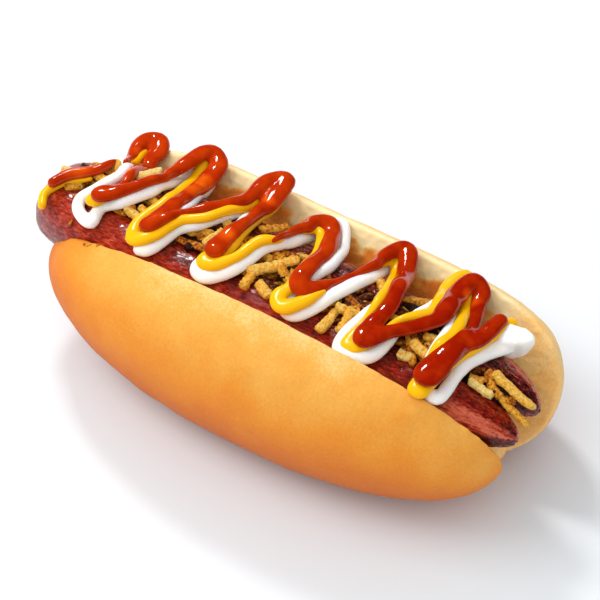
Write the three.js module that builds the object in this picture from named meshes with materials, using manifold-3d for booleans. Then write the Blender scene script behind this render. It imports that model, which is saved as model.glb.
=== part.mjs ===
// A hot dog: a soft bun slit along its top, a butterflied sausage in the slit,
// crispy fried onions heaped between the sausage's two lobes, and three sauces
// piped in a zigzag on top. Millimetres, +X along the bun, +Z up, standing on Z = 0.
// The half of the bun at -Y is called the front half, the one at +Y the back half.
import * as THREE from "three";
import { mergeVertices } from "three/addons/utils/BufferGeometryUtils.js";
import Module from "manifold-3d";

const wasm = await Module();
wasm.setup();

// ---- Driving dimensions

const GAP = 0.3; // left between two pieces that touch

// Each half of the bun is half an ellipse across: the slit's cut face is its flat
// side, from the hinge at the bottom up to the lip, and thick is the crust's bulge.
const FRONT_HALF = {
  side: -1,
  middleX: 4,
  halfLength: 76,
  hinge: { y: -3, z: 0 },
  lip: { y: -20, z: 53 },
  thick: 28,
  endPower: 2.3,
};
const BACK_HALF = {
  side: 1,
  middleX: 4,
  halfLength: 77,
  hinge: { y: 1, z: 4 },
  lip: { y: 30, z: 44 },
  thick: 23.7,
  endPower: 6,
};
const CRUST_FULLNESS = 0.92; // 1 is an ellipse, less is fuller
const CUT_FACE_BULGE = 0.5;
// The crumb under the sausage, which joins the two halves.
const HINGE_CRUMB = { middleX: 3, halfLength: 71, endPower: 4, y: 0, z: 13.5, halfWidth: 19, halfHeight: 15.5 };

// The sausage is slit along its top and opened: two lobes that lie apart in the
// middle, close up at the left end and taper at the right end.
const SAUSAGE = {
  halfLength: 81.5,
  middle: { y: 0, z: 37, apart: 9.2, radius: 9.6 },
  leftEnd: { y: -1.5, z: 36, apart: 2.5, radius: 10.4 },
  rightEnd: { y: -1, z: 33.5, apart: 6, radius: 8.6 },
  leftRoundness: 20,
  rightRoundness: 9,
  web: { halfLength: 74, halfWidth: 9, halfHeight: 4.5, drop: 4.5, endPower: 6 },
};

// The heap's top is lumpy: lump holds the waves' height and their rates along and round.
const ONION_HEAP = {
  middleX: 4,
  halfLength: 77,
  y: 0.5,
  z: 43,
  halfWidth: 11,
  halfHeight: 6.6,
  endPower: 5,
  lump: { height: 0.7, lengthwise: 0.44, round: 3, twist: 0.11 },
};

// What the sauces lie on: low over the lobes and the slit, high over the onions.
const REST = { low: 46.6, rise: 5.7, crestY: 0.5, spread: 10.5 };
const TURN_HALF_WIDTH = 3.2; // half the width of a turn of the zigzag
const LEG_BOW = 0.1; // how far the middle of a leg bows towards +X, per length
const STEPS_PER_STRETCH = 2; // rings between two points of a strand's course

// Each sauce turns at these places, x and y, from its first drop to its last.
// level is how far its middle lies above the lowest sauce's.
const MAYONNAISE = {
  halfWidth: 2.6,
  halfHeight: 1.5,
  level: 0,
  turns: [
    [-61, 19], [-58, -14],
    [-43, 27], [-37, -13],
    [-19, 29], [-17, -14],
    [5, 25], [11, -13],
    [24, 25], [33, -15],
    [48, 26], [60, -15],
    [67, 12],
  ],
  endDrop: { x: 69, y: 14, z: 47.5, radius: 5.4, flatness: 0.75 },
};
const MUSTARD = {
  halfWidth: 2.1,
  halfHeight: 1.1,
  level: 3.1,
  turns: [
    [-74, -15], [-64, -3],
    [-61, 22], [-60, -9],
    [-42, 26], [-41, -14],
    [-20, 30], [-19, -12],
    [0, 22], [7, -13],
    [24, 25], [32, -15],
    [44, 26], [55, -17],
    [62, 18],
  ],
};
const KETCHUP = {
  halfWidth: 2.5,
  halfHeight: 1.4,
  level: 6.1,
  turns: [
    [-75, -11], [-63, -2],
    [-59, 24], [-59, -8],
    [-41, 28], [-41, -10],
    [-18, 32], [-20, -8],
    [0, 24], [13, -8],
    [24, 27], [35, -14],
    [48, 28], [54, -16],
    [61, 16],
  ],
};

// ---- Solids

function solid(geometry) {
  geometry.deleteAttribute("normal");
  geometry.deleteAttribute("uv");
  const merged = mergeVertices(geometry, 1e-4);
  const mesh = new wasm.Mesh({
    numProp: 3,
    vertProperties: merged.attributes.position.array,
    triVerts: new Uint32Array(merged.index.array),
  });
  return new wasm.Manifold(mesh);
}

function joined(solids) {
  return solids.reduce((whole, piece) => whole.add(piece));
}

function geometryOf(manifold) {
  const { vertProperties, triVerts } = manifold.getMesh();
  const geometry = new THREE.BufferGeometry();
  geometry.setAttribute("position", new THREE.BufferAttribute(vertProperties, 3));
  geometry.setIndex(new THREE.BufferAttribute(triVerts, 1));
  return geometry;
}

// A unit sphere whose poles lie on the X axis, each point of it moved by
// place(along, across, up): along runs from -1 to 1 between the poles, and
// across and up are the point's direction round the X axis.
function reshapedSphere(rings, sides, place) {
  const geometry = new THREE.SphereGeometry(1, sides, rings);
  const points = geometry.attributes.position;
  for (let i = 0; i < points.count; i++) {
    const along = points.getY(i);
    const ring = Math.hypot(points.getX(i), points.getZ(i));
    const isPole = ring < 1e-6;
    const across = isPole ? 0 : points.getZ(i) / ring;
    const up = isPole ? 0 : points.getX(i) / ring;
    const [x, y, z] = place(along, across, up);
    points.setXYZ(i, x, y, z);
  }
  return solid(geometry);
}

// 1 in the middle and 0 at the ends; a high power keeps the ends blunt.
function endTaper(along, power) {
  return Math.sqrt(Math.max(0, 1 - Math.abs(along) ** power));
}

// ---- Bun

function bunHalf(half) {
  const chordY = half.lip.y - half.hinge.y;
  const chordZ = half.lip.z - half.hinge.z;
  const chord = Math.hypot(chordY, chordZ);
  const upwards = { y: chordY / chord, z: chordZ / chord };
  const outwards = { y: half.side * upwards.z, z: -half.side * upwards.y };
  const centre = { y: (half.hinge.y + half.lip.y) / 2, z: (half.hinge.z + half.lip.z) / 2 };
  return reshapedSphere(20, 20, (along, across, up) => {
    const taper = endTaper(along, half.endPower);
    const towardsCrust = across * half.side;
    const height = Math.sign(up) * Math.abs(up) ** CRUST_FULLNESS * (chord / 2) * taper;
    const bulge = towardsCrust > 0
      ? towardsCrust ** CRUST_FULLNESS * half.thick * taper
      : towardsCrust * CUT_FACE_BULGE * taper;
    return [
      half.middleX + along * half.halfLength,
      centre.y + height * upwards.y + bulge * outwards.y,
      Math.max(0, centre.z + height * upwards.z + bulge * outwards.z),
    ];
  });
}

function hingeCrumb() {
  const crumb = HINGE_CRUMB;
  return reshapedSphere(16, 16, (along, across, up) => {
    const taper = endTaper(along, crumb.endPower);
    return [
      crumb.middleX + along * crumb.halfLength,
      crumb.y + across * crumb.halfWidth * taper,
      Math.max(0, crumb.z + up * crumb.halfHeight * taper),
    ];
  });
}

// ---- Sausage

// The lobes' height and radius, their middle across and how far each lies from it.
function lobeCourse(along) {
  const end = along < 0 ? SAUSAGE.leftEnd : SAUSAGE.rightEnd;
  const towardsEnd = Math.abs(along) ** 3;
  const blend = (key) => SAUSAGE.middle[key] + (end[key] - SAUSAGE.middle[key]) * towardsEnd;
  return { y: blend("y"), z: blend("z"), apart: blend("apart"), radius: blend("radius") };
}

function lobe(side, grow) {
  return reshapedSphere(20, 12, (along, across, up) => {
    const course = lobeCourse(along);
    const roundness = along < 0 ? SAUSAGE.leftRoundness : SAUSAGE.rightRoundness;
    const radius = (course.radius + grow) * endTaper(along, roundness);
    return [
      along * (SAUSAGE.halfLength + grow),
      course.y + side * course.apart + across * radius,
      course.z + up * radius,
    ];
  });
}

function sausageWeb(grow) {
  const web = SAUSAGE.web;
  return reshapedSphere(10, 8, (along, across, up) => {
    const course = lobeCourse(along);
    const taper = endTaper(along, web.endPower);
    return [
      along * (web.halfLength + grow),
      course.y + across * (web.halfWidth + grow) * taper,
      course.z - web.drop + up * (web.halfHeight + grow) * taper,
    ];
  });
}

function sausage(grow = 0) {
  return joined([lobe(-1, grow), lobe(1, grow), sausageWeb(grow)]);
}

// ---- Onions

function onionHeap() {
  const heap = ONION_HEAP;
  return reshapedSphere(30, 10, (along, across, up) => {
    const x = heap.middleX + along * heap.halfLength;
    const taper = endTaper(along, heap.endPower);
    const { height, lengthwise, round, twist } = heap.lump;
    const wave = Math.sin(x * lengthwise) * Math.cos(across * round + x * twist);
    const lump = Math.max(0, up) * height * wave;
    return [
      x,
      heap.y + across * heap.halfWidth * taper,
      heap.z + (up * heap.halfHeight + lump) * taper,
    ];
  });
}

// ---- Sauces

function restHeight(y) {
  return REST.low + REST.rise * Math.exp(-(((y - REST.crestY) / REST.spread) ** 2));
}

// The strand's course: three points round each turn and one at each leg's middle.
function strandCourse(turns) {
  const points = [];
  turns.forEach(([x, y], i) => {
    const before = turns[i - 1];
    const next = turns[i + 1];
    const turnsBack = before && next && (before[1] - y) * (next[1] - y) > 0;
    if (turnsBack) {
      const legY = y - Math.sign(y) * TURN_HALF_WIDTH;
      points.push([x - TURN_HALF_WIDTH, legY], [x, y], [x + TURN_HALF_WIDTH, legY]);
    } else {
      points.push([x, y]);
    }
    if (next) {
      const bow = LEG_BOW * Math.hypot(next[0] - x, next[1] - y);
      points.push([(x + next[0]) / 2 + bow, (y + next[1]) / 2]);
    }
  });
  return new THREE.CatmullRomCurve3(points.map(([x, y]) => new THREE.Vector3(x, y, 0)));
}

function strand(sauce) {
  const course = strandCourse(sauce.turns);
  const rings = (course.points.length - 1) * STEPS_PER_STRETCH;
  return reshapedSphere(rings, 6, (along, across, up) => {
    const distance = 1 - Math.acos(along) / Math.PI;
    const middle = course.getPoint(distance);
    const heading = course.getTangent(distance);
    const aside = { x: -heading.y, y: heading.x };
    const x = middle.x + aside.x * across * sauce.halfWidth;
    const y = middle.y + aside.y * across * sauce.halfWidth;
    return [x, y, restHeight(y) + sauce.level + up * sauce.halfHeight];
  });
}

function endDrop({ x, y, z, radius, flatness }) {
  return reshapedSphere(8, 12, (along, across, up) => {
    const taper = Math.sqrt(1 - along * along);
    return [
      x + along * radius,
      y + across * radius * taper,
      z + up * radius * taper * flatness,
    ];
  });
}

// ---- The whole, with room cut for the sausage in what it lies against

const roomForSausage = sausage(GAP);
const bun = joined([bunHalf(FRONT_HALF), bunHalf(BACK_HALF), hingeCrumb()]).subtract(roomForSausage);
const onions = onionHeap().subtract(roomForSausage);
const mayonnaise = joined([strand(MAYONNAISE), endDrop(MAYONNAISE.endDrop)]);
const mustard = strand(MUSTARD);
const ketchup = strand(KETCHUP);

function named(name, manifold, color, roughness) {
  const material = new THREE.MeshStandardMaterial({ color, roughness, metalness: 0 });
  const mesh = new THREE.Mesh(geometryOf(manifold), material);
  mesh.name = name;
  return mesh;
}

const hotDog = new THREE.Group();
hotDog.add(
  named("bun", bun, 0xf2b25c, 0.75),
  named("sausage", sausage(), 0x9c3528, 0.35),
  named("fried_onions", onions, 0xc98d38, 0.8),
  named("mayonnaise", mayonnaise, 0xf7f4ec, 0.3),
  named("mustard", mustard, 0xf2b90c, 0.35),
  named("ketchup", ketchup, 0xb8260c, 0.25),
);

export default hotDog;
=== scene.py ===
import math
import random

import bmesh
import bpy
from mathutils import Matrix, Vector, noise
from mathutils.bvhtree import BVHTree


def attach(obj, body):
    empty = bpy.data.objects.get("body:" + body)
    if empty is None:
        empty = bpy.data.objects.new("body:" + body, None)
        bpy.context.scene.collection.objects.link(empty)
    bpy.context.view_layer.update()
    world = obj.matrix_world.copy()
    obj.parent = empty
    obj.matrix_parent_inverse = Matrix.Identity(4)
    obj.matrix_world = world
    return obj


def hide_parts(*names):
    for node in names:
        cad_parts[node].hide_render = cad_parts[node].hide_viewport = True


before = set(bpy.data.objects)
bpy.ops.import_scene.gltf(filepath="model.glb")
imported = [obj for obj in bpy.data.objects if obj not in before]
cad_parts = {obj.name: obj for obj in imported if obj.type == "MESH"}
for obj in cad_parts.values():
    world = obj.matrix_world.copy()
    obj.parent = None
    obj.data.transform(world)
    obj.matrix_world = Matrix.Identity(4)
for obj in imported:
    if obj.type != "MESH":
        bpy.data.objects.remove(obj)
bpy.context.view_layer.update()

MM = 0.001

# ---- Camera, light and floor
# The hot dog stands on a plain pale floor. A soft lamp shines over its left end, a small
# one behind it gives the wet glints, and a wide one and a pale room fill the shadows.

CAMERA_PLACE = (0.2901, -0.4450, 0.6255)
CAMERA_TILT = math.radians(42)
CAMERA_TURN = math.radians(32.563)
CAMERA_LENS = 166.5

camera_data = bpy.data.cameras.new("camera")
camera_data.lens = CAMERA_LENS
camera_data.sensor_width = 36
camera = bpy.data.objects.new("camera", camera_data)
camera.location = CAMERA_PLACE
camera.rotation_euler = (CAMERA_TILT, 0, CAMERA_TURN)
bpy.context.scene.collection.objects.link(camera)
bpy.context.scene.camera = camera
bpy.context.scene.view_settings.view_transform = "Standard"


def add_softbox(name, place, size, power, mirrored=True):
    """A square lamp that shines at the middle of the hot dog."""
    lamp = bpy.data.lights.new(name, "AREA")
    lamp.size = size
    lamp.energy = power
    holder = bpy.data.objects.new(name, lamp)
    holder.location = place
    holder.visible_glossy = mirrored
    target = Vector((0, 0, 0.03))
    holder.rotation_euler = (target - holder.location).to_track_quat("-Z", "Y").to_euler()
    bpy.context.scene.collection.objects.link(holder)


add_softbox("key_lamp", (-0.42, -0.22, 0.55), 0.4, 1.9, mirrored=False)
add_softbox("glint_lamp", (-0.42, 0.36, 0.62), 0.12, 2.6)
add_softbox("fill_lamp", (0.05, -0.5, 1.0), 0.9, 2.2, mirrored=False)

room = bpy.data.worlds.new("pale_room")
room.use_nodes = True
room.node_tree.nodes["Background"].inputs["Color"].default_value = (1, 1, 1, 1)
room.node_tree.nodes["Background"].inputs["Strength"].default_value = 0.67
bpy.context.scene.world = room
room.cycles_visibility.glossy = False


def linear(red, green, blue):
    """A screen colour, 0 to 255 each, as the linear colour that a shader takes."""
    def channel(value):
        value /= 255
        return value / 12.92 if value < 0.04045 else ((value + 0.055) / 1.055) ** 2.4
    return (channel(red), channel(green), channel(blue), 1)


def put(tree, kind, inputs=None, **settings):
    """Adds a node; an input takes a plain value or another node's output."""
    node = tree.nodes.new(kind)
    for setting, value in settings.items():
        setattr(node, setting, value)
    for socket, value in (inputs or {}).items():
        if isinstance(value, bpy.types.NodeSocket):
            tree.links.new(value, node.inputs[socket])
        else:
            node.inputs[socket].default_value = value
    return node


floor_shape = bmesh.new()
bmesh.ops.create_grid(floor_shape, x_segments=1, y_segments=1, size=3)
floor_mesh = bpy.data.meshes.new("floor")
floor_shape.to_mesh(floor_mesh)
floor_shape.free()
floor = bpy.data.objects.new("floor", floor_mesh)
bpy.context.scene.collection.objects.link(floor)
paper = bpy.data.materials.new("floor_paper")
paper.use_nodes = True
paper_shader = paper.node_tree.nodes["Principled BSDF"]
paper_shader.inputs["Base Color"].default_value = (0.81, 0.855, 0.89, 1)
paper_shader.inputs["Roughness"].default_value = 0.9
paper_shader.inputs["Specular IOR Level"].default_value = 0.1
floor_mesh.materials.append(paper)

# ---- Bun
# A soft oval roll, slit along its top and opened: the front half's lip stands high, the
# back half leans open and shows its cut face, which was toasted on a griddle. The two
# are one bread, joined under the sausage, with a golden crust that darkens downwards,
# partly its baked colour and partly painted shade.

FRONT_HALF = {
    "side": -1, "middle_x": 4, "half_length": 76, "hinge": (-3, 0), "lip": (-20, 53),
    "thick": 28, "end_power": 2.3,
}
BACK_HALF = {
    "side": 1, "middle_x": 4, "half_length": 77, "hinge": (1, 4), "lip": (30, 44),
    "thick": 23.7, "end_power": 6,
}
CRUST_FULLNESS = 0.92
CUT_FACE_BULGE = 0.5
HINGE_CRUMB = {
    "middle_x": 3, "half_length": 71, "end_power": 4, "y": 0, "z": 13.5,
    "half_width": 19, "half_height": 15.5,
}
BREAD_GRAIN = 0.8  # size of the bread mesh's facets
BREAD_ROUNDING = 4  # rounds of smoothing
FACE_REACH = 1.2  # a point this far behind a half's cut face still belongs to that half
TOAST_START = 5.5  # how far below the lip the cut face begins to be toasted


def smooth_between(low, high, value):
    """0 at low and 1 at high, with an easy start and finish."""
    part = min(1, max(0, (value - low) / (high - low)))
    return part * part * (3 - 2 * part)


def end_taper(along, power):
    """1 in the middle and 0 at the ends; a high power keeps the ends blunt."""
    return math.sqrt(max(0, 1 - abs(along) ** power))


def add_shaped_ball(shape, rings, sides, place, **marks):
    """Adds a ball with its poles on X; place(along, across, up) moves each point, in mm.

    Each of marks is a number that the ball's points carry under that name.
    """
    ball = bmesh.new()
    bmesh.ops.create_uvsphere(ball, u_segments=sides, v_segments=rings, radius=1)
    layers = [(ball.verts.layers.float.new(name), value) for name, value in marks.items()]
    for vert in ball.verts:
        ring = math.hypot(vert.co.x, vert.co.y)
        across, up = (vert.co.x / ring, vert.co.y / ring) if ring > 1e-6 else (0, 0)
        vert.co = Vector(place(vert.co.z, across, up)) * MM
        for layer, value in layers:
            vert[layer] = value
    mesh = bpy.data.meshes.new("ball")
    ball.to_mesh(mesh)
    ball.free()
    shape.from_mesh(mesh)
    bpy.data.meshes.remove(mesh)


def piece_of(name, shape, node, material):
    """Makes a finished shape into a smooth piece that stands for its CAD node."""
    bmesh.ops.recalc_face_normals(shape, faces=shape.faces)
    mesh = bpy.data.meshes.new(name)
    shape.to_mesh(mesh)
    shape.free()
    mesh.shade_smooth()
    mesh.materials.append(material)
    piece = bpy.data.objects.new(name, mesh)
    bpy.context.scene.collection.objects.link(piece)
    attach(piece, "root")
    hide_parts(node)
    return piece


def fused(shape, grain, rounds):
    """Melts overlapping balls into one skin of even facets and smooths it."""
    mesh = bpy.data.meshes.new("fusing")
    shape.to_mesh(mesh)
    shape.free()
    lump = bpy.data.objects.new("fusing", mesh)
    bpy.context.scene.collection.objects.link(lump)
    remesh = lump.modifiers.new("remesh", "REMESH")
    remesh.mode = "VOXEL"
    remesh.voxel_size = grain * MM
    smooth = lump.modifiers.new("smooth", "SMOOTH")
    smooth.factor = 0.5
    smooth.iterations = rounds
    whole = bmesh.new()
    whole.from_object(lump, bpy.context.evaluated_depsgraph_get())
    bpy.data.objects.remove(lump)
    bpy.data.meshes.remove(mesh)
    return whole


def across_half(half):
    """The cut face's own directions: its hinge, its length, and up and out of it."""
    rise = Vector((half["lip"][0] - half["hinge"][0], half["lip"][1] - half["hinge"][1]))
    up = rise.normalized()
    out = Vector((half["side"] * up.y, -half["side"] * up.x))
    return Vector(half["hinge"]), rise.length, up, out


def add_half(shape, half):
    """Adds one half of the roll: full on its crust side, nearly flat on its cut face."""
    hinge, chord, up_face, out = across_half(half)

    def place(along, across, up):
        taper = end_taper(along, half["end_power"])
        towards_crust = across * half["side"]
        height = math.copysign(abs(up) ** CRUST_FULLNESS, up) * chord / 2 * taper
        bulge = towards_crust * CUT_FACE_BULGE * taper
        if towards_crust > 0:
            bulge = towards_crust ** CRUST_FULLNESS * half["thick"] * taper
        y, z = hinge + up_face * (chord / 2 + height) + out * bulge
        return half["middle_x"] + along * half["half_length"], y, max(0, z)

    add_shaped_ball(shape, 120, 120, place)


def place_hinge(along, across, up):
    """The bread that joins the two halves."""
    taper = end_taper(along, HINGE_CRUMB["end_power"])
    return (
        HINGE_CRUMB["middle_x"] + along * HINGE_CRUMB["half_length"],
        HINGE_CRUMB["y"] + across * HINGE_CRUMB["half_width"] * taper,
        max(0, HINGE_CRUMB["z"] + up * HINGE_CRUMB["half_height"] * taper),
    )


def lip_height(half, x):
    """How far up the cut face its lip runs at a place along the bun."""
    along = min(1, abs(x - half["middle_x"]) / half["half_length"])
    return across_half(half)[1] * (1 + end_taper(along, half["end_power"])) / 2


bread = bmesh.new()
add_half(bread, FRONT_HALF)
add_half(bread, BACK_HALF)
add_shaped_ball(bread, 60, 60, place_hinge)
bread = fused(bread, BREAD_GRAIN, BREAD_ROUNDING)

# Each point carries whether it is crust or crumb, how brown its crust is, darker
# towards the bottom partly as baked colour and partly as painted shade, and how much
# its crumb is toasted.
bread.normal_update()
crust_of = bread.verts.layers.float.new("crust")
bake_and_shade_of = bread.verts.layers.float.new("bake_and_shade")
toast_of = bread.verts.layers.float.new("toast")
front_hinge, front_chord, front_up, front_out = across_half(FRONT_HALF)
back_hinge, _, back_up, back_out = across_half(BACK_HALF)
for vert in bread.verts:
    place = vert.co / MM
    across = Vector((place.y, place.z))
    from_front_face = (across - front_hinge).dot(front_out)
    up_front_face = (across - front_hinge).dot(front_up)
    from_back_face = (across - back_hinge).dot(back_out)
    up_back_face = (across - back_hinge).dot(back_up)
    swell = noise.fractal(place / 16, 0.8, 2, 3)
    if from_front_face > -FACE_REACH:
        crust = smooth_between(-0.7, 0.2, from_front_face)
        below_lip = lip_height(FRONT_HALF, place.x) - up_front_face
        # Painted shade: the front crust runs browner towards the bottom, partly its baked colour, and paler
        # at its right end.
        browned_and_shaded = 1 - place.z / front_chord - 0.16 * smooth_between(52, 80, place.x)
        lip_wear = smooth_between(3, 0, below_lip) * (0.25 + 0.3 * smooth_between(25, 60, place.x))
    else:
        crust = smooth_between(0.6, 4, from_back_face)
        below_lip = lip_height(BACK_HALF, place.x) - up_back_face
        # Painted shade as well: the back crust runs browner further down from its lip, partly its baked
        # colour.
        browned_and_shaded = smooth_between(2, 26, below_lip + from_back_face * 0.6 - 4)
        lip_wear = 0
    if from_back_face < -FACE_REACH and from_front_face < -FACE_REACH:
        crust = smooth_between(0.2, -0.3, vert.normal.z)
        browned_and_shaded = 1
        below_lip = 30
    browned_and_shaded += 0.16 * smooth_between(-25, -72, place.x)
    vert[crust_of] = crust
    vert[bake_and_shade_of] = browned_and_shaded + 0.06 * swell
    ragged_edge = 3 * noise.noise(place / 5) + 1.5 * noise.noise(place / 1.8)
    toasted = smooth_between(-1.5, 2, below_lip - TOAST_START + ragged_edge)
    toasted *= smooth_between(64, 46, place.x)
    vert[toast_of] = max(toasted, 0.45 * smooth_between(54, 70, place.x))
    lift = 0.35 * swell * crust + 0.4 * lip_wear * noise.noise(place / 3.1)
    lift += (1 - crust) * (0.3 * noise.noise(place / 2.2) + 0.15 * noise.noise(place / 1.1))
    if place.z > 0.5:
        vert.co += vert.normal * lift * MM

bread_finish = bpy.data.materials.new("bread")
bread_finish.use_nodes = True
tree = bread_finish.node_tree
bread_shader = tree.nodes["Principled BSDF"]
where = put(tree, "ShaderNodeTexCoord").outputs["Object"]
crust_mask = put(tree, "ShaderNodeAttribute", attribute_name="crust").outputs["Fac"]
bake_and_shade = put(tree, "ShaderNodeAttribute", attribute_name="bake_and_shade").outputs["Fac"]
toast = put(tree, "ShaderNodeAttribute", attribute_name="toast").outputs["Fac"]
flecks = put(tree, "ShaderNodeTexNoise", {"Vector": where, "Scale": 1300, "Detail": 5, "Roughness": 0.75})
clouds = put(tree, "ShaderNodeTexNoise", {"Vector": where, "Scale": 90, "Detail": 3})
fleck_shift = put(tree, "ShaderNodeMath", {0: flecks.outputs["Fac"], 1: 0.4, 2: -0.2},
                  operation="MULTIPLY_ADD").outputs[0]
cloud_shift = put(tree, "ShaderNodeMath", {0: clouds.outputs["Fac"], 1: 0.24, 2: -0.12},
                  operation="MULTIPLY_ADD").outputs[0]
shift = put(tree, "ShaderNodeMath", {0: fleck_shift, 1: cloud_shift}, operation="ADD").outputs[0]
uneven_bake_and_shade = put(tree, "ShaderNodeMath", {0: bake_and_shade, 1: shift}, operation="ADD").outputs[0]


def colour_scale(tree, value, stops):
    """A colour ramp from (place, colour) pairs."""
    node = put(tree, "ShaderNodeValToRGB", {"Fac": value})
    ramp = node.color_ramp
    while len(ramp.elements) < len(stops):
        ramp.elements.new(0.5)
    for element, (place, colour) in zip(ramp.elements, stops):
        element.position = place
        element.color = colour
    return node.outputs["Color"]


def mix_colours(tree, share, first, second):
    """first where share is 0 and second where it is 1."""
    node = put(tree, "ShaderNodeMix", data_type="RGBA")
    for socket, value in ((0, share), (6, first), (7, second)):
        if isinstance(value, bpy.types.NodeSocket):
            tree.links.new(value, node.inputs[socket])
        else:
            node.inputs[socket].default_value = value
    return node.outputs[2]


# The darker end of this crust ramp is partly painted shade, from the value that darkens downwards.
crust_colour = colour_scale(tree, uneven_bake_and_shade, (
    (0.0, linear(244, 204, 128)),
    (0.12, linear(242, 175, 76)),
    (0.35, linear(236, 147, 42)),
    (0.6, linear(222, 119, 30)),
    (0.8, linear(206, 104, 33)),
    (1.0, linear(190, 95, 39)),
))
toast_level = put(tree, "ShaderNodeMath", {0: shift, 1: 2.4, 2: toast}, operation="MULTIPLY_ADD").outputs[0]
crumb_colour = colour_scale(tree, toast_level, (
    (0.15, linear(252, 226, 170)),
    (0.4, linear(255, 206, 130)),
    (0.6, linear(255, 186, 96)),
    (0.85, linear(255, 164, 70)),
    (1.0, linear(246, 136, 48)),
))
bread_colour = mix_colours(tree, crust_mask, crumb_colour, crust_colour)
pores = put(tree, "ShaderNodeTexNoise", {"Vector": where, "Scale": 700, "Detail": 5, "Roughness": 0.75})
relief = put(tree, "ShaderNodeBump", {"Height": pores.outputs["Fac"], "Strength": 0.22, "Distance": 0.0006})
tree.links.new(bread_colour, bread_shader.inputs["Base Color"])
tree.links.new(relief.outputs["Normal"], bread_shader.inputs["Normal"])
bread_shader.inputs["Roughness"].default_value = 0.62
bread_shader.inputs["Specular IOR Level"].default_value = 0.3
bun = piece_of("baked_bun", bread, "bun", bread_finish)

# ---- Sausage
# A smoked sausage slit along its top and opened flat, fried dark: two lobes that lie
# apart in the middle, close up at the left end and taper at the right, with fine
# wrinkles along the skin and a wet shine.

SAUSAGE = {
    "half_length": 81.5,
    "middle": {"y": 0, "z": 37, "apart": 9.2, "radius": 9.6},
    "left_end": {"y": -1.5, "z": 36, "apart": 2.5, "radius": 10.4},
    "right_end": {"y": -1, "z": 33.5, "apart": 6, "radius": 8.6},
    "left_roundness": 20,
    "right_roundness": 6,
    "web": {"half_length": 74, "half_width": 9, "half_height": 4.5, "drop": 4.5, "end_power": 6},
}
SAUSAGE_GRAIN = 0.55
SAUSAGE_ROUNDING = 3


def lobe_course(along):
    """How high, how thick and how far apart the lobes are at a place along them."""
    end = SAUSAGE["left_end" if along < 0 else "right_end"]
    middle = SAUSAGE["middle"]
    towards_end = abs(along) ** 3
    return {key: middle[key] + (end[key] - middle[key]) * towards_end for key in middle}


def add_lobe(shape, side):
    """Adds one lobe, on side 1 or -1 of the groove."""
    def place(along, across, up):
        course = lobe_course(along)
        roundness = SAUSAGE["left_roundness" if along < 0 else "right_roundness"]
        radius = course["radius"] * end_taper(along, roundness)
        return (
            along * SAUSAGE["half_length"],
            course["y"] + side * course["apart"] + across * radius,
            course["z"] + up * radius,
        )

    add_shaped_ball(shape, 160, 60, place)


def place_web(along, across, up):
    """The uncut meat that joins the two lobes."""
    web = SAUSAGE["web"]
    course = lobe_course(along)
    taper = end_taper(along, web["end_power"])
    return (
        along * web["half_length"],
        course["y"] + across * web["half_width"] * taper,
        course["z"] - web["drop"] + up * web["half_height"] * taper,
    )


meat = bmesh.new()
add_lobe(meat, -1)
add_lobe(meat, 1)
add_shaped_ball(meat, 60, 40, place_web)
meat = fused(meat, SAUSAGE_GRAIN, SAUSAGE_ROUNDING)
# Each point carries whether it is on the far lobe, how light its skin is, with painted
# shade low on the flanks by the bun and in the creases, how purple and how salmon its
# frying left it, and whether it is on a crest, where the fat stands in beads.
meat.normal_update()
far_of = meat.verts.layers.float.new("far")
tone_and_shade_of = meat.verts.layers.float.new("tone_and_shade")
purple_of = meat.verts.layers.float.new("purple")
salmon_of = meat.verts.layers.float.new("salmon")
crest_of = meat.verts.layers.float.new("crest")
for vert in meat.verts:
    place = vert.co / MM
    course = lobe_course(place.x / SAUSAGE["half_length"])
    side = 1 if place.y > course["y"] else -1
    outward = math.atan2(side * (place.y - course["y"] - side * course["apart"]), place.z - course["z"])
    right = smooth_between(42, 70, place.x)
    left = smooth_between(-56, -74, place.x)
    folds = noise.noise(Vector((place.x / 14, outward * 3.2, side * 9)))
    long_creases = max(0, 1 - abs(noise.noise(Vector((place.x / 26, outward * 4.5, side * 5 + 3)))) * 9)
    fine_creases = max(0, 1 - abs(noise.noise(Vector((place.x / 8, outward * 9, side * 5 + 7)))) * 5)
    strokes = noise.noise(Vector((place.x / 1.8 + outward * 3, outward * 14, side)))
    lift = 0.4 * folds * (0.4 + right + 0.5 * left) + 0.16 * strokes
    lift -= (0.4 * long_creases + 0.1 * fine_creases) * (0.12 + right)
    ridge = smooth_between(-0.6, -0.2, outward) * smooth_between(0.45, 0.15, outward)
    flank = smooth_between(0.3, 0.6, outward) * smooth_between(1.35, 1, outward)
    middle = smooth_between(-44, -30, place.x) * (1 - right)
    tone_and_shade = 0.34 * flank * (0.1 + 0.9 * right) - 0.18 * ridge * (0.35 + 0.65 * right)
    tone_and_shade -= (0.12 + 0.12 * ridge) * middle
    # Painted shade: the skin is darkened low on the flank, where the lobe turns under towards the bun's
    # lip.
    tone_and_shade -= 0.45 * smooth_between(0.95, 1.4, outward) * (1 - left)
    # Painted shade in the long creases towards the right end; the left tip is darker as char.
    tone_and_shade -= 0.3 * long_creases * right + 0.5 * smooth_between(-77, -81, place.x)
    vert[far_of] = smooth_between(-2, 3, place.y - course["y"])
    vert[tone_and_shade_of] = tone_and_shade + 0.12 * folds + 0.1 * strokes
    vert[purple_of] = left * smooth_between(0.5, 1, outward) * 0.8
    # The salmon colour is kept out of the creases, as painted shade there.
    vert[salmon_of] = right * flank * (0.75 - 0.9 * long_creases)
    vert[crest_of] = smooth_between(0.75, 0.25, abs(outward))
    vert.co += vert.normal * lift * MM

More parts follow.
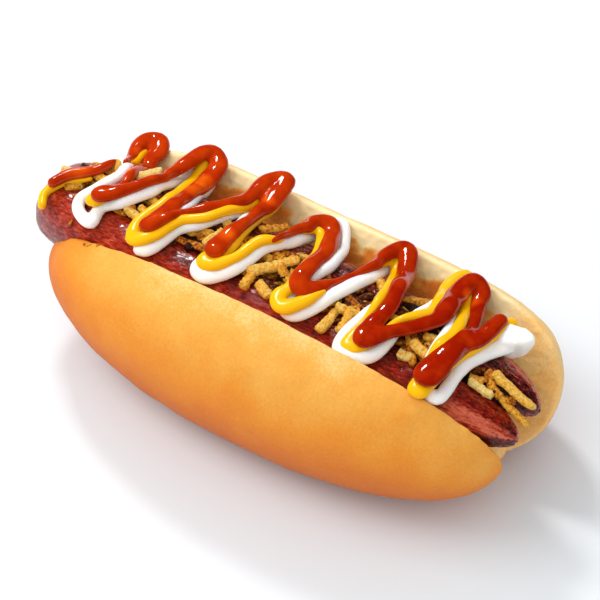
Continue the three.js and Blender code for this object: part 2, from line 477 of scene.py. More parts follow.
meat_finish = bpy.data.materials.new("sausage_skin")
meat_finish.use_nodes = True
tree = meat_finish.node_tree
meat_shader = tree.nodes["Principled BSDF"]
where = put(tree, "ShaderNodeTexCoord").outputs["Object"]
far_mask = put(tree, "ShaderNodeAttribute", attribute_name="far").outputs["Fac"]
tone_and_shade = put(tree, "ShaderNodeAttribute", attribute_name="tone_and_shade").outputs["Fac"]
purple = put(tree, "ShaderNodeAttribute", attribute_name="purple").outputs["Fac"]
salmon = put(tree, "ShaderNodeAttribute", attribute_name="salmon").outputs["Fac"]
crest = put(tree, "ShaderNodeAttribute", attribute_name="crest").outputs["Fac"]
stretched = put(tree, "ShaderNodeMapping", {"Vector": where, "Scale": (0.3, 1, 1)}).outputs[0]
fibres = put(tree, "ShaderNodeTexNoise",
             {"Vector": stretched, "Scale": 1700, "Detail": 5, "Roughness": 0.65})
patches = put(tree, "ShaderNodeTexNoise", {"Vector": where, "Scale": 260, "Detail": 4}).outputs["Fac"]
skin_level = put(tree, "ShaderNodeMath", {0: fibres.outputs["Fac"], 1: 1.1, 2: -0.33},
                 operation="MULTIPLY_ADD").outputs[0]
skin_level = put(tree, "ShaderNodeMath", {0: patches, 1: 0.5, 2: skin_level},
                 operation="MULTIPLY_ADD").outputs[0]
skin_level = put(tree, "ShaderNodeMath", {0: tone_and_shade, 1: 0.6, 2: skin_level},
                 operation="MULTIPLY_ADD").outputs[0]
skin_colour = colour_scale(tree, skin_level, (
    (0.22, linear(76, 10, 5)),
    (0.42, linear(142, 28, 12)),
    (0.6, linear(186, 60, 30)),
    (0.8, linear(218, 110, 70)),
))
char_colour = colour_scale(tree, skin_level, (
    (0.25, linear(52, 8, 6)),
    (0.45, linear(132, 40, 30)),
    (0.65, linear(204, 108, 84)),
))
purple_colour = colour_scale(tree, skin_level, (
    (0.3, linear(104, 34, 32)),
    (0.6, linear(176, 82, 74)),
))
skin_colour = mix_colours(tree, purple, skin_colour, purple_colour)
salmon_colour = colour_scale(tree, skin_level, (
    (0.3, linear(150, 46, 30)),
    (0.7, linear(222, 112, 84)),
))
skin_colour = mix_colours(tree, salmon, skin_colour, salmon_colour)
meat_colour = mix_colours(tree, far_mask, skin_colour, char_colour)
tree.links.new(meat_colour, meat_shader.inputs["Base Color"])
grain = put(tree, "ShaderNodeMath", {0: fibres.outputs["Fac"], 1: 0.3, 2: patches},
            operation="MULTIPLY_ADD")
skin_relief = put(tree, "ShaderNodeBump", {"Height": grain.outputs[0], "Strength": 0.7, "Distance": 0.0012})
tree.links.new(skin_relief.outputs["Normal"], meat_shader.inputs["Normal"])
wetness = put(tree, "ShaderNodeMapRange", {"Value": patches, 1: 0.35, 2: 0.65, 3: 0.24, 4: 0.1}).outputs[0]
tree.links.new(wetness, meat_shader.inputs["Roughness"])
beads = put(tree, "ShaderNodeTexNoise", {"Vector": stretched, "Scale": 1500, "Detail": 4}).outputs["Fac"]
grease = put(tree, "ShaderNodeMapRange", {"Value": beads, 1: 0.5, 2: 0.58, 3: 0, 4: 1}).outputs[0]
grease = put(tree, "ShaderNodeMath", {0: grease, 1: crest}, operation="MULTIPLY").outputs[0]
tree.links.new(grease, meat_shader.inputs["Coat Weight"])
meat_shader.inputs["Coat Roughness"].default_value = 0.18
meat_shader.inputs["Coat IOR"].default_value = 1.8
meat_shader.inputs["Specular IOR Level"].default_value = 0.5
sausage = piece_of("split_sausage", meat, "sausage", meat_finish)

# ---- Fried onions
# Slender strips of onion, crisp from frying, heaped in the groove between the lobes: a
# crumbly core painted near black as the shade in the gaps, with crooked golden strips
# lying on it every way, and crumbs between. The strips underneath are darker, partly
# their frying colour and partly painted shade.

ONION_CORE = {"middle_x": 3, "half_length": 73, "y": 0.3, "z": 38.5, "half_width": 7.5, "half_height": 5.5}
STRIP_TRIES = 700  # strips tossed on the heap; one that would stand too high is left out
STRIP_THICKNESS = 2.1
STRIP_BEND = 0.08
CRUMBS = 90
HEAP_CELL = 0.75  # the heap's height is kept for cells of this size
HEAP_LENGTH = 86  # from the middle to each end of those cells
HEAP_WIDTH = 18  # and to each side
HEAP_CREST = 49.4
HEAP_EDGE = 45
HEAP_SPREAD = 11
HEAP_MIDDLE = 1.5
HEAP_DROP = 5  # how much lower the heap lies at its right end
GROOVE_FLOOR = 30  # a cell with nothing under it counts as this high
chance = random.Random(11)


def place_core(along, across, up):
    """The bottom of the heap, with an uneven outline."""
    taper = end_taper(along, 5)
    x = ONION_CORE["middle_x"] + along * ONION_CORE["half_length"]
    lump = 1 + 0.25 * noise.noise(Vector((x / 3, across * 2, up * 2)))
    return (
        x,
        ONION_CORE["y"] + across * ONION_CORE["half_width"] * taper * lump,
        ONION_CORE["z"] + up * ONION_CORE["half_height"] * taper * lump,
    )


core = bmesh.new()
core.verts.layers.float.new("fried")
# Painted shade: the core is near black, standing for the shade deep in the gaps between the strips.
add_shaped_ball(core, 200, 40, place_core, fried=0.98)
core.normal_update()
for vert in core.verts:
    vert.co += vert.normal * 0.5 * noise.noise(vert.co / MM / 1.2) * MM

onion_finish = bpy.data.materials.new("fried_onion")
onion_finish.use_nodes = True
tree = onion_finish.node_tree
onion_shader = tree.nodes["Principled BSDF"]
where = put(tree, "ShaderNodeTexCoord").outputs["Object"]
fried = put(tree, "ShaderNodeAttribute", attribute_name="fried").outputs["Fac"]
blisters = put(tree, "ShaderNodeTexNoise", {"Vector": where, "Scale": 1100, "Detail": 4, "Roughness": 0.7})
specks = put(tree, "ShaderNodeTexVoronoi", {"Vector": where, "Scale": 1100}).outputs["Distance"]
speck_shift = put(tree, "ShaderNodeMapRange", {"Value": specks, 1: 0.1, 2: 0.35, 3: 0.16, 4: 0}).outputs[0]
fried_level = put(tree, "ShaderNodeMath", {0: blisters.outputs["Fac"], 1: 1.3, 2: -0.68},
                  operation="MULTIPLY_ADD").outputs[0]
fried_level = put(tree, "ShaderNodeMath", {0: fried_level, 1: speck_shift}, operation="ADD").outputs[0]
fried_level = put(tree, "ShaderNodeMath", {0: fried_level, 1: fried}, operation="ADD").outputs[0]
onion_colour = colour_scale(tree, fried_level, (
    (0.0, linear(252, 222, 138)),
    (0.2, linear(250, 194, 74)),
    (0.4, linear(236, 156, 32)),
    (0.58, linear(178, 92, 13)),
    (0.75, linear(88, 33, 8)),
    (0.95, linear(38, 12, 8)),
))
tree.links.new(onion_colour, onion_shader.inputs["Base Color"])
crisp = put(tree, "ShaderNodeBump", {"Height": blisters.outputs["Fac"], "Strength": 1.0, "Distance": 0.001})
tree.links.new(crisp.outputs["Normal"], onion_shader.inputs["Normal"])
onion_shader.inputs["Roughness"].default_value = 0.42
onion_shader.inputs["Specular IOR Level"].default_value = 0.3
onion_core = piece_of("onion_core", core, "fried_onions", onion_finish)


def surface_of(*pieces):
    """A tree that answers what lies under a point of these pieces."""
    whole = bmesh.new()
    for piece in pieces:
        whole.from_mesh(piece.data)
    surface = BVHTree.FromBMesh(whole)
    whole.free()
    return surface


def height_under(surface, x, y, low=0):
    """How high the topmost thing lies at x and y, all in mm."""
    hit = surface.ray_cast(Vector((x, y, 100)) * MM, Vector((0, 0, -1)))[0]
    return hit.z / MM if hit else low


filling = surface_of(sausage, onion_core)
columns = int(2 * HEAP_LENGTH / HEAP_CELL)
rows = int(2 * HEAP_WIDTH / HEAP_CELL)
heap_top = [
    [height_under(filling, i * HEAP_CELL - HEAP_LENGTH, j * HEAP_CELL - HEAP_WIDTH, GROOVE_FLOOR)
     for j in range(rows)]
    for i in range(columns)
]


def cell_of(x, y):
    """The column and row of the cell at x and y."""
    column = min(columns - 1, max(0, round((x + HEAP_LENGTH) / HEAP_CELL)))
    row = min(rows - 1, max(0, round((y + HEAP_WIDTH) / HEAP_CELL)))
    return column, row


def heap_limit(x, y):
    """How high the heap may stand: a crest along its middle, low over the lobes."""
    crest = math.exp(-((y - HEAP_MIDDLE) / HEAP_SPREAD) ** 2)
    return HEAP_EDGE + (HEAP_CREST - HEAP_EDGE) * crest - HEAP_DROP * smooth_between(50, 62, x)


def add_strip(shape, x, y, heading, length, width, thick, bend, fried_to,
              rings=22, sides=12, ends=None, limited=True):
    """Lays one crooked strip on the heap as it stands and raises the heap there.

    rings and sides say how finely it is modelled; ends, if given, how high the middle
    of each end lies.
    """
    forward = Vector((math.cos(heading), math.sin(heading), 0))
    aside = Vector((-forward.y, forward.x, 0))

    def middle_line(part):
        sideways = bend * (part * part - 0.35) * length / 2
        return Vector((x, y, 0)) + forward * part * length / 2 + aside * sideways

    steps = [i / 4 - 1 for i in range(9)]
    under = []
    for part in steps:
        column, row = cell_of(*middle_line(part).xy)
        under.append(heap_top[column][row])
    start = (max(under[:4]) + under[1]) / 2
    finish = (max(under[5:]) + under[7]) / 2
    sag = max(under[i] - (start + (finish - start) * i / 8) for i in range(2, 7))
    rise = max(0, sag) * 0.5 + thick * 0.2
    if ends:
        start, finish = ends
        rise = 0
    tops = [start + (finish - start) * (part + 1) / 2 + rise + thick * 0.45 for part in steps]
    if limited and any(top > heap_limit(*middle_line(part).xy) for top, part in zip(tops, steps)):
        return
    seed = chance.random() * 50

    def place(along, across, up):
        part = 1 - math.acos(max(-1, min(1, along))) / math.pi * 2
        spot = middle_line(part)
        height = start + (finish - start) * (part + 1) / 2 + rise
        crook = noise.noise(Vector((part * length / 7, seed, 0))) * 0.25
        tall = noise.noise(Vector((part * length / 7, seed, 7))) * 0.3
        blunt = (1 - abs(part) ** 14) ** 0.5 * (1 - 0.14 * part * math.sin(seed * 3))
        rough = 1 + 0.2 * noise.noise(Vector((part * length / 2, across * 1.3 + seed, up * 1.3)))
        rough += 0.26 * noise.noise(Vector((part * length / 0.9, across * 2.5 + seed, up * 2.5)))
        square = 1 / max(abs(across), abs(up), 0.5) ** 0.85
        side_reach = across * square * width / 2 * blunt * rough
        up_reach = up * square * thick / 2 * blunt * rough
        twist = math.sin(seed) * 0.5 + part * 0.5 * math.cos(seed)
        spot += aside * (crook + side_reach * math.cos(twist) - up_reach * math.sin(twist))
        return spot.x, spot.y, height + tall + side_reach * math.sin(twist) + up_reach * math.cos(twist)

    add_shaped_ball(shape, rings, sides, place, fried=fried_to)
    for part, top in zip(steps, tops):
        spot = middle_line(part)
        for offset in (-width / 3, 0, width / 3):
            column, row = cell_of(spot.x + aside.x * offset, spot.y + aside.y * offset)
            heap_top[column][row] = max(heap_top[column][row], top - thick * 0.2)


strips = bmesh.new()
strips.verts.layers.float.new("fried")
for _ in range(STRIP_TRIES):
    add_strip(
        strips,
        x=chance.uniform(-66, 67),
        y=HEAP_MIDDLE + max(-9.5, min(11, chance.gauss(0, 5.5))),
        heading=chance.gauss(0, 0.7),
        length=chance.uniform(6, 15),
        width=chance.uniform(2.0, 3.2),
        thick=chance.uniform(1.4, 2.1),
        bend=chance.uniform(-0.2, 0.2),
        # The darker choices are partly frying colour and partly painted shade for the gaps in the heap.
        fried_to=chance.choice((0.3, 0.45, 0.6, 0.8, 1)),
        rings=10,
        sides=8,
    )

# The longest and palest strips lie on top: x, y, heading, length, width, how dark, as frying colour and
# painted shade.
TOP_STRIPS = (
    (-76, 1.9, 0.19, 4.8, 2.4, 0.05), (-60.6, 4.3, -1.28, 7.5, 2.9, 0.25),
    (-42.7, 6.2, -0.48, 4.5, 2.9, 0.3), (-48, -4.6, -0.22, 7.3, 2.9, 0.2),
    (-45.7, -2.1, -0.25, 4.8, 2.6, 0.3), (-21.8, 6.1, -0.54, 5.8, 2.6, 0.2),
    (-22.9, -0.4, 1.34, 7.8, 2.7, 0.2), (-12, 14.5, 1.06, 10, 2.6, 0.45),
    (-2.7, -0.4, 0.86, 16.2, 3.1, 0.25), (-6.4, -8.2, 1.55, 5.8, 2.7, 0.3),
    (-0.9, -8.2, -0.51, 7.3, 3.2, 0.25), (20.5, -8.4, 1.54, 10, 2.9, 0.25),
    (23.9, -3.3, 0.17, 7.8, 2.9, 0.25), (25.1, -7, 1.49, 7, 2.6, 0.3),
    (26.8, 10.6, -0.64, 6.5, 2.6, 0.3), (49, -4.4, -0.18, 9.1, 2.9, 0.25),
    (48.8, 1.1, 0.24, 5.8, 2.6, 0.3), (45.1, -7.6, 0.05, 4.4, 2.8, 0.1),
    (64.7, -1.9, 0.25, 4.6, 3.5, 0.35), (-64.7, 2.2, -0.22, 6.9, 2.6, 0.3),
    (-70, -3.4, 0.78, 5.9, 2.4, 0.35), (-4.5, 3.8, -0.33, 6, 2.6, 0.4),
    (2.2, -1.3, -0.49, 7.5, 2.6, 0.35), (-12, -5.6, 1.52, 4.5, 2.4, 0.4),
)
# These lie loose over the others; the last two numbers are how high their ends lie.
LOOSE_STRIPS = (
    (-62.8, 7.4, 1.1, 3.4, 2.6, 0.25, 46.5, 50.5), (-53, 10.5, 0.74, 8.3, 2.7, 0.05, 48, 49.5),
    (68, 0.9, -0.4, 4.7, 2.6, 0.5, 43.6, 43), (70.4, -1.4, -0.43, 5.8, 2.3, 0.4, 42.6, 41.5),
    (75.4, 0.1, -0.24, 16, 2.9, 0.25, 44.6, 42), (77.6, -3.3, -0.23, 11.6, 2, 0.35, 41, 37.6),
    (67.3, -3.9, -0.03, 8.2, 2.3, 0.05, 44, 42.2), (75.6, -1.6, 0.4, 3, 2, 0.55, 41.2, 40.9),
)
# A few crumbs have dropped on the front lip of the bun: x, y.
LIP_CRUMBS = ((-55.8, -18.4), (-54.6, -18.6), (-53.9, -18.2), (-51.3, -18))
for x, y, heading, length, width, fried_to in TOP_STRIPS:
    add_strip(
        strips, x, y, heading, length, width, STRIP_THICKNESS, STRIP_BEND, fried_to, limited=False)
for x, y, heading, length, width, fried_to, start, finish in LOOSE_STRIPS:
    add_strip(
        strips, x, y, heading, length, width, STRIP_THICKNESS, STRIP_BEND, fried_to,
        ends=(start, finish), limited=False)
for _ in range(CRUMBS):
    add_strip(
        strips,
        x=chance.uniform(-70, 71),
        y=HEAP_MIDDLE + chance.gauss(0, 6),
        heading=chance.uniform(0, 3),
        length=chance.uniform(1.4, 3.2),
        width=chance.uniform(1.0, 1.8),
        thick=chance.uniform(0.9, 1.4),
        bend=0,
        fried_to=chance.choice((0.4, 0.6, 0.75)),
        rings=6,
        sides=6,
    )
bun_surface = surface_of(bun)
for x, y in LIP_CRUMBS:
    height = height_under(bun_surface, x, y)
    add_strip(
        strips,
        x=x,
        y=y,
        heading=chance.uniform(0, 3),
        length=chance.uniform(0.9, 1.6),
        width=0.8,
        thick=0.7,
        bend=0,
        fried_to=0.5,
        rings=6,
        sides=6,
        ends=(height, height),
        limited=False,
    )
onion_strips = piece_of("onion_strips", strips, "fried_onions", onion_finish)

# ---- Mayonnaise, mustard and ketchup
# Three sauces squeezed from bottles in one zigzag over the filling, mayonnaise first,
# mustard on it and ketchup on top. Each strand lies on what is under it and sags a
# little between.

STRAND_STEP = 0.8  # from one drop of a strand to the next
SAUCE_GRAIN = 0.42
SAUCE_ROUNDING = 5
LUMP_ROUNDING = 4  # the mayonnaise keeps a little more of its lump's shape
HIDDEN_WIDTH = 0.45  # thinner than this a strand is buried and left out
BRIDGED_GAP = 15  # a strand spans a gap this long without falling in
SPAN_STIFFNESS = 0.85  # 1 spans a gap straight, 0 follows its floor
SPAN_EASING = 16  # rounds of evening out a strand's height
SPAN_BITE = 1.2  # how far a strand presses into what carries it


def measured_course(points):
    """A smooth course through (x, y, half width) points, as evenly spaced samples."""
    dense = []
    last = len(points) - 1
    for i in range(last):
        before, start, finish, after = (
            Vector(points[min(last, max(0, k))]) for k in (i - 1, i, i + 1, i + 2))
        for step in range(24):
            t = step / 24
            dense.append(0.5 * (
                2 * start + (finish - before) * t
                + (2 * before - 5 * start + 4 * finish - after) * t * t
                + (3 * start - before - 3 * finish + after) * t ** 3
            ))
    dense.append(Vector(points[-1]))
    samples = [dense[0]]
    travelled = 0
    for here, there in zip(dense, dense[1:]):
        stretch = (there - here).to_2d().length
        while travelled + stretch >= STRAND_STEP * len(samples):
            part = (STRAND_STEP * len(samples) - travelled) / stretch
            samples.append(here.lerp(there, part))
        travelled += stretch
    return samples


def draped_heights(surface, samples):
    """How high a strand's underside lies: on what is below, bridging narrow gaps."""
    below = []
    for i, sample in enumerate(samples):
        ahead = (samples[min(i + 1, len(samples) - 1)] - samples[max(i - 1, 0)]).to_2d().normalized()
        aside = Vector((-ahead.y, ahead.x)) * sample.z
        heights = [
            height_under(surface, sample.x + aside.x * offset, sample.y + aside.y * offset)
            for offset in (-0.6, -0.3, 0, 0.3, 0.6)
        ]
        below.append((max(heights) + sum(heights) / 5) / 2)
    reach = round(BRIDGED_GAP / 2 / STRAND_STEP)
    spanned = [max(below[max(0, i - reach):i + reach + 1]) for i in range(len(below))]
    spanned = [min(spanned[max(0, i - reach):i + reach + 1]) for i in range(len(below))]
    bridged = [SPAN_STIFFNESS * span + (1 - SPAN_STIFFNESS) * low for span, low in zip(spanned, below)]
    for _ in range(SPAN_EASING):
        bridged = [
            (bridged[max(0, i - 1)] + 2 * bridged[i] + bridged[min(len(bridged) - 1, i + 1)]) / 4
            for i in range(len(bridged))
        ]
    return [max(span, low - SPAN_BITE) for span, low in zip(bridged, below)]


def add_strand(shape, surface, points, half_height, sink):
    """A strand of sauce laid along its course: a row of drops that melt into one."""
    samples = measured_course(points)
    heights = draped_heights(surface, samples)
    for i, (sample, height) in enumerate(zip(samples, heights)):
        if sample.z < HIDDEN_WIDTH:
            continue
        swell = 1 + 0.1 * noise.noise(Vector((i * STRAND_STEP / 5, half_height, 0)))
        reach = sample.z * swell
        tall = half_height * min(1, 0.55 + 0.25 * sample.z) * swell

        def place(along, across, up):
            ring = math.sqrt(max(0, 1 - along * along))
            return (
                sample.x + along * reach,
                sample.y + across * ring * reach,
                height - sink + tall * (0.8 + up * ring * (1 if up > 0 else 0.7)),
            )

        add_shaped_ball(shape, 8, 12, place)


swirl = bpy.data.node_groups.new("sauce_swirl", "ShaderNodeTree")
swirl.interface.new_socket("Thin_and_lit", in_out="INPUT", socket_type="NodeSocketFloat")
swirl.interface.new_socket("Amount", in_out="INPUT", socket_type="NodeSocketFloat")
swirl.interface.new_socket("Thinness_and_light", in_out="OUTPUT", socket_type="NodeSocketFloat")
asked = put(swirl, "NodeGroupInput").outputs
where = put(swirl, "ShaderNodeTexCoord").outputs["Object"]
swirls = put(swirl, "ShaderNodeTexNoise", {"Vector": where, "Scale": 220, "Detail": 3}).outputs["Fac"]
centred = put(swirl, "ShaderNodeMath", {0: swirls, 1: 0.5}, operation="SUBTRACT").outputs[0]
thinness_and_light = put(swirl, "ShaderNodeMath", {0: centred, 1: asked["Amount"], 2: asked["Thin_and_lit"]},
               operation="MULTIPLY_ADD").outputs[0]
put(swirl, "NodeGroupOutput", {"Thinness_and_light": thinness_and_light})


def sauce_finish(name, colour, roughness, bounce):
    """A smooth wet sauce; colour runs from where it lies thick, 0, to where it lies thinnest, 1; on the
    ketchup the same value also carries painted light, higher towards its left end.
    """
    finish = bpy.data.materials.new(name)
    finish.use_nodes = True
    tree = finish.node_tree
    shader = tree.nodes["Principled BSDF"]
    thin_and_lit = put(tree, "ShaderNodeAttribute", attribute_name="thin_and_lit").outputs["Fac"]
    swirled = put(tree, "ShaderNodeGroup", {"Thin_and_lit": thin_and_lit, "Amount": 0.7}, node_tree=swirl)
    tree.links.new(colour_scale(tree, swirled.outputs["Thinness_and_light"], colour), shader.inputs["Base Color"])
    shader.inputs["Roughness"].default_value = roughness
    shader.inputs["Specular IOR Level"].default_value = 0.3
    shader.inputs["Subsurface Weight"].default_value = bounce
    shader.inputs["Subsurface Radius"].default_value = (1, 0.5, 0.3)
    shader.inputs["Subsurface Scale"].default_value = 0.0015
    return finish


MAYONNAISE_COURSE = (
    (-64, 29.5, 0), (-64.5, 25, 0), (-65, 23, 1.7), (-64, 18.5, 1.8), (-60.5, 9.5, 1.8),
    (-59, 3.5, 1.8), (-62, -3, 1.9), (-64.5, -7.5, 2), (-62.5, -11.5, 2), (-57, -13.5, 2),
    (-57.5, -7.5, 2), (-52.5, -3.5, 2.2), (-49, 4.5, 2.7), (-48, 8, 2), (-47.5, 13.5, 2.2),
    (-48, 20.5, 2.2), (-45.5, 27, 1.5), (-42.5, 28.5, 1.2), (-40, 26.5, 1.1), (-37.5, 14.5, 1.2),
    (-36, 2.5, 1.6), (-39, -5.5, 2.2), (-39, -13.5, 2.5), (-37, -13, 2.7), (-33.5, -4, 2),
    (-28, 1.5, 1.7), (-24, 12, 1.7), (-23, 25, 1.7), (-22, 28.5, 1.7), (-20, 28.5, 1.5),
    (-21, 19, 1.4), (-20.5, 12, 1.4), (-20, 5, 0.8), (-20, -2, 0), (-21, -11, 2.3),
    (-18, -13.5, 2.7), (-15, -11.5, 2.8), (-10.5, -5, 2.5), (-8, 3.5, 2.3), (-4, 11.5, 2.3),
    (-2.5, 21.5, 2.2), (1, 28, 1.5), (4, 27, 1.7), (8, 19.5, 1.8), (10.5, 8, 2), (9, 0.5, 2),
    (7.5, -7.5, 2.2), (8, -11, 2.2), (11, -12.5, 2.5), (13.5, -10, 2.5), (17, -2.5, 2.3),
    (20, 4.5, 2.2), (22, 12.5, 2.2), (21.5, 19.5, 2), (22, 27, 1.3), (25, 25.5, 1.3),
    (27.5, 20.5, 1.5), (30.5, 12, 1.7), (31.5, 5, 1.8), (29, -4.5, 1.8), (28, -12, 2),
    (30, -17.5, 2), (37, -14.5, 2.5), (39, -7.5, 2), (39.5, 0, 1.5), (41, 3.5, 1.5),
    (42.5, 13, 1.5), (41.5, 21, 1.5), (42, 26, 1.5), (43.5, 27.5, 1.3), (48, 16, 1.7),
    (50.5, 9.5, 1.7), (52, -1.5, 1.7), (52, -8, 1.5), (55, -13.5, 1.8), (60, -14.5, 2.2),
    (60, -3, 2.2), (61.8, 5.5, 3), (65.5, 13, 3.8),
)
MUSTARD_COURSE = (
    (-74, -14, 1.3), (-76, -9.5, 1.5), (-73, -4, 1.4), (-67, 0, 0.9), (-66, 0.5, 0), (-61.5, 6, 0),
    (-60.5, 10, 0), (-65, 23, 2), (-62.5, 27.5, 1.2), (-60, 22, 0), (-56.5, 12, 0), (-55.5, 6, 0),
    (-56.5, 0.5, 0), (-60, -7.5, 2), (-58, -7, 1.7), (-54, 0.5, 0), (-52.5, 4.5, 0), (-49, 11, 0),
    (-48.5, 16, 0), (-47, 25, 1.6), (-44.5, 27.5, 2), (-43.5, 21.5, 1.9), (-43, 15.5, 1.9),
    (-42, 7.5, 1.7), (-42.5, 1.5, 1.7), (-44.5, -7, 1.9), (-41.5, -13.5, 2.7), (-37, -10, 2.2),
    (-33.5, -2.5, 1.9), (-27, 3, 1.7), (-24, 10.5, 1.7), (-22, 16, 1.5), (-22, 23.5, 1.9),
    (-20, 29.5, 1.7), (-17.5, 26, 1.7), (-18, 16, 1.7), (-17, 5.5, 1.7), (-16.5, -2, 2),
    (-19.5, -9.5, 2.7), (-17, -10, 2.5), (-12, -5.5, 1.7), (-9.5, 2.5, 1.9), (-5.5, 6.5, 1.1),
    (-4.5, 10.5, 0), (-2, 18.5, 0.9), (0.5, 19.5, 1.5), (4, 12.5, 1.5), (5.5, 2.5, 1.7),
    (6.5, -6, 2), (5.5, -9.5, 2.4), (6.5, -12.5, 2.5), (9.5, -13, 2.7), (13.5, -7, 1.9), (17, 0, 0),
    (21, 11, 0), (21, 17.5, 0.8), (21.5, 23, 1.7), (23, 25.5, 1.9), (27, 16, 1.7), (29.5, 9, 1.7),
    (31, -1.5, 1.4), (30.5, -9.5, 1.6), (31.5, -14.5, 3.4), (34, -13.5, 2.2), (36, -10, 1.7),
    (38.5, -2, 1.3), (43.5, 5, 1.9), (44.5, 10.5, 2.2), (41.5, 22, 2.4), (43, 28.5, 1.9),
    (45.5, 27.5, 1.7), (49, 19, 2), (52, 11.5, 2), (53.5, 5, 2), (53, -4.5, 1.9),
    (53.5, -13.5, 1.9), (55, -17, 3), (56.5, -14.5, 1.9), (58, -4, 1.3), (60.5, 3.5, 1.3),
    (62.5, 13.5, 1.9), (63.5, 20, 2),
)
KETCHUP_COURSE = (
    (-74.5, -7.5, 1.7), (-72, -2, 2), (-66, 2.5, 1.7), (-64, 8, 1.1), (-63, 11, 0),
    (-62.5, 12.5, 1.2), (-65, 18, 1.7), (-66.5, 23.5, 2.4), (-66, 28, 2.8), (-63, 29.5, 3),
    (-60.5, 26, 3.1), (-60.5, 22, 2.5), (-58.5, 14.5, 2.2), (-57, 8, 2), (-55.5, 0.5, 1.6),
    (-58, -6.5, 3.1), (-53, -1, 2), (-48, 9.5, 1.6), (-48, 14.5, 1.9), (-46.5, 22.5, 2.6),
    (-44, 29.5, 3), (-39.5, 26.5, 3), (-39, 19, 3.1), (-38.5, 8, 2.4), (-38.5, -2.5, 2.8),
    (-40, -9, 2.8), (-35.5, -3.5, 1.5), (-34, 1, 1.3), (-30.5, 6, 1.8), (-24, 14.5, 2),
    (-22.5, 27, 2.8), (-18.5, 30, 3.3), (-17.5, 20, 3.1), (-18, 15.5, 2.2), (-17.5, 9, 1.7),
    (-18.5, 1, 2.8), (-18.5, -6.5, 3), (-16.5, -4, 0), (-11, 1.5, 0), (-7, 2.5, 0), (-5.5, 5, 0.7),
    (-4.5, 14.5, 1.5), (-3, 18.5, 2), (-3, 22, 2.6), (1, 24, 3), (6.5, 13.5, 2.8), (7.5, 5, 2.6),
    (8, -3.5, 3), (10.5, -5, 3.5), (13, -3, 2.8), (16, 3, 1.1), (19, 8.5, 1.1), (21, 15.5, 1.8),
    (20.5, 21, 2.2), (23, 27.5, 2.6), (26, 26, 3), (30, 17, 2.8), (32.5, 9, 2.6), (34, 2, 2.6),
    (33.5, -9, 3), (35, -12, 3.3), (39.5, -5.5, 2.2), (47, 4.5, 2.6), (47.5, 10.5, 3.1),
    (46, 19, 3.3), (46.5, 27, 2.8), (50.5, 26, 2.6), (51.5, 22, 2.6), (56, 10, 2.4), (56.5, 4, 3),
    (56, -6.5, 4.1), (55.5, -13, 4.4), (56, -7.5, 3.9), (58.5, 2, 1.9), (60.5, 8, 2.8),
    (61.5, 16.5, 2.3),
)

# The mayonnaise ends in a lump with a fold across it: the corners of its parts, x, y, z.
MAYONNAISE_DOLLOP = (
    ((62.2, 12.6, 47), (62.2, 15.6, 47.8), (63.6, 18, 47.8), (66.8, 18.2, 48.2), (68.8, 11.2, 47.8),
     (65, 10.2, 47.4), (62.2, 12, 41), (66.4, 10.8, 40), (69, 12.4, 39.5), (68.4, 16.4, 41),
     (63.6, 16, 39.5)),
    ((67.4, 19.2, 48), (72, 17.8, 48), (73.6, 15.6, 47.6), (71.6, 12.6, 48), (68.8, 11.6, 48.2),
     (68.4, 14.5, 48.8), (68, 12.2, 39.5), (70.8, 14, 40.4), (72, 16.4, 43), (68.5, 17.6, 43)),
    ((64, 11.6, 47), (64.6, 18.6, 48), (70, 18.8, 48.2), (71.6, 14, 48), (68.8, 11.8, 47.6),
     (64.5, 12, 40.5), (65, 16, 39.5), (70, 16.6, 42), (70.4, 13.6, 40), (68, 12, 40)),
)


def add_dollop(shape, lumps):
    """Adds a soft-edged lump round each set of corners."""
    for corners in lumps:
        lump = bmesh.new()
        for corner in corners:
            lump.verts.new(Vector(corner) * MM)
        bmesh.ops.convex_hull(lump, input=lump.verts)
        bmesh.ops.subdivide_edges(lump, edges=lump.edges, cuts=5, use_grid_fill=True)
        for _ in range(4):
            bmesh.ops.smooth_vert(
                lump, verts=lump.verts, factor=0.5, use_axis_x=True, use_axis_y=True, use_axis_z=True)
        mesh = bpy.data.meshes.new("lump")
        lump.to_mesh(mesh)
        lump.free()
        shape.from_mesh(mesh)
        bpy.data.meshes.remove(mesh)


# Where mustard smears up into the ketchup and turns it orange: x, y, reach.
MUSTARD_SMEARS = (
    (-38.9, 17.7, 6.5), (-37.7, 11, 5), (-18.5, 0, 6), (-58, 7, 4.5), (-64.5, 21, 4.5), (59, 19, 3),
    (-70, 0, 10), (-18, 20, 4), (50, 20, 4),
)

SMEAR_STRENGTH = 0.7

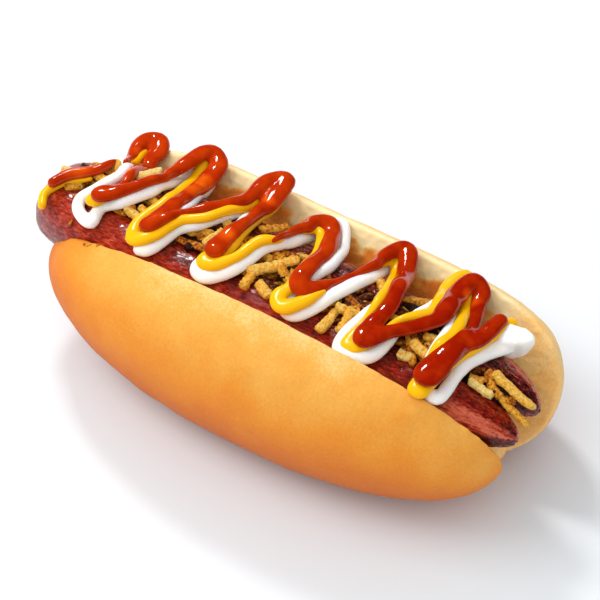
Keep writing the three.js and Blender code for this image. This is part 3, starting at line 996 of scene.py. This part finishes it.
mayonnaise_shape = bmesh.new()
beneath = surface_of(bun, sausage, onion_strips)
add_strand(mayonnaise_shape, beneath, MAYONNAISE_COURSE, half_height=2.0, sink=0.5)
add_dollop(mayonnaise_shape, MAYONNAISE_DOLLOP)
mayonnaise_shape = fused(mayonnaise_shape, SAUCE_GRAIN, LUMP_ROUNDING)
mayonnaise = piece_of("piped_mayonnaise", mayonnaise_shape, "mayonnaise", sauce_finish(
    "mayonnaise", roughness=0.28, bounce=0.5, colour=(
        (0, linear(252, 250, 244)),
        (1, linear(250, 246, 236)),
    )))

mustard_shape = bmesh.new()
beneath = surface_of(bun, sausage, onion_strips, mayonnaise)
add_strand(mustard_shape, beneath, MUSTARD_COURSE, half_height=1.7, sink=0.6)
mustard_shape = fused(mustard_shape, SAUCE_GRAIN, SAUCE_ROUNDING)
mustard = piece_of("piped_mustard", mustard_shape, "mustard", sauce_finish(
    "mustard", roughness=0.22, bounce=0.1, colour=(
        (0, linear(250, 186, 4)),
        (1, linear(254, 202, 20)),
    )))

ketchup_shape = bmesh.new()
beneath = surface_of(bun, sausage, onion_strips, mayonnaise, mustard)
add_strand(ketchup_shape, beneath, KETCHUP_COURSE, half_height=2.0, sink=0.6)
ketchup_shape = fused(ketchup_shape, SAUCE_GRAIN, SAUCE_ROUNDING)
ketchup_thin_and_lit = ketchup_shape.verts.layers.float.new("thin_and_lit")
for vert in ketchup_shape.verts:
    place = vert.co / MM
    # Painted light and shade: the ketchup is made lighter and more orange towards its left end and darker
    # towards its right; the smears below are mustard mixed in.
    orange_and_lit = 0.04 + 0.22 * smooth_between(48, 8, place.x)
    for x, y, reach in MUSTARD_SMEARS:
        away = math.hypot(place.x - x, place.y - y) + 2 * noise.noise(place / 6)
        orange_and_lit = max(orange_and_lit, SMEAR_STRENGTH * smooth_between(reach, 0, away))
    vert[ketchup_thin_and_lit] = orange_and_lit
piece_of("piped_ketchup", ketchup_shape, "ketchup", sauce_finish(
    "ketchup", roughness=0.07, bounce=0, colour=(
        (0, linear(152, 24, 2)),
        (0.3, linear(184, 50, 5)),
        (0.6, linear(210, 72, 8)),
        (0.85, linear(228, 110, 14)),
        (1, linear(240, 146, 20)),
    )))
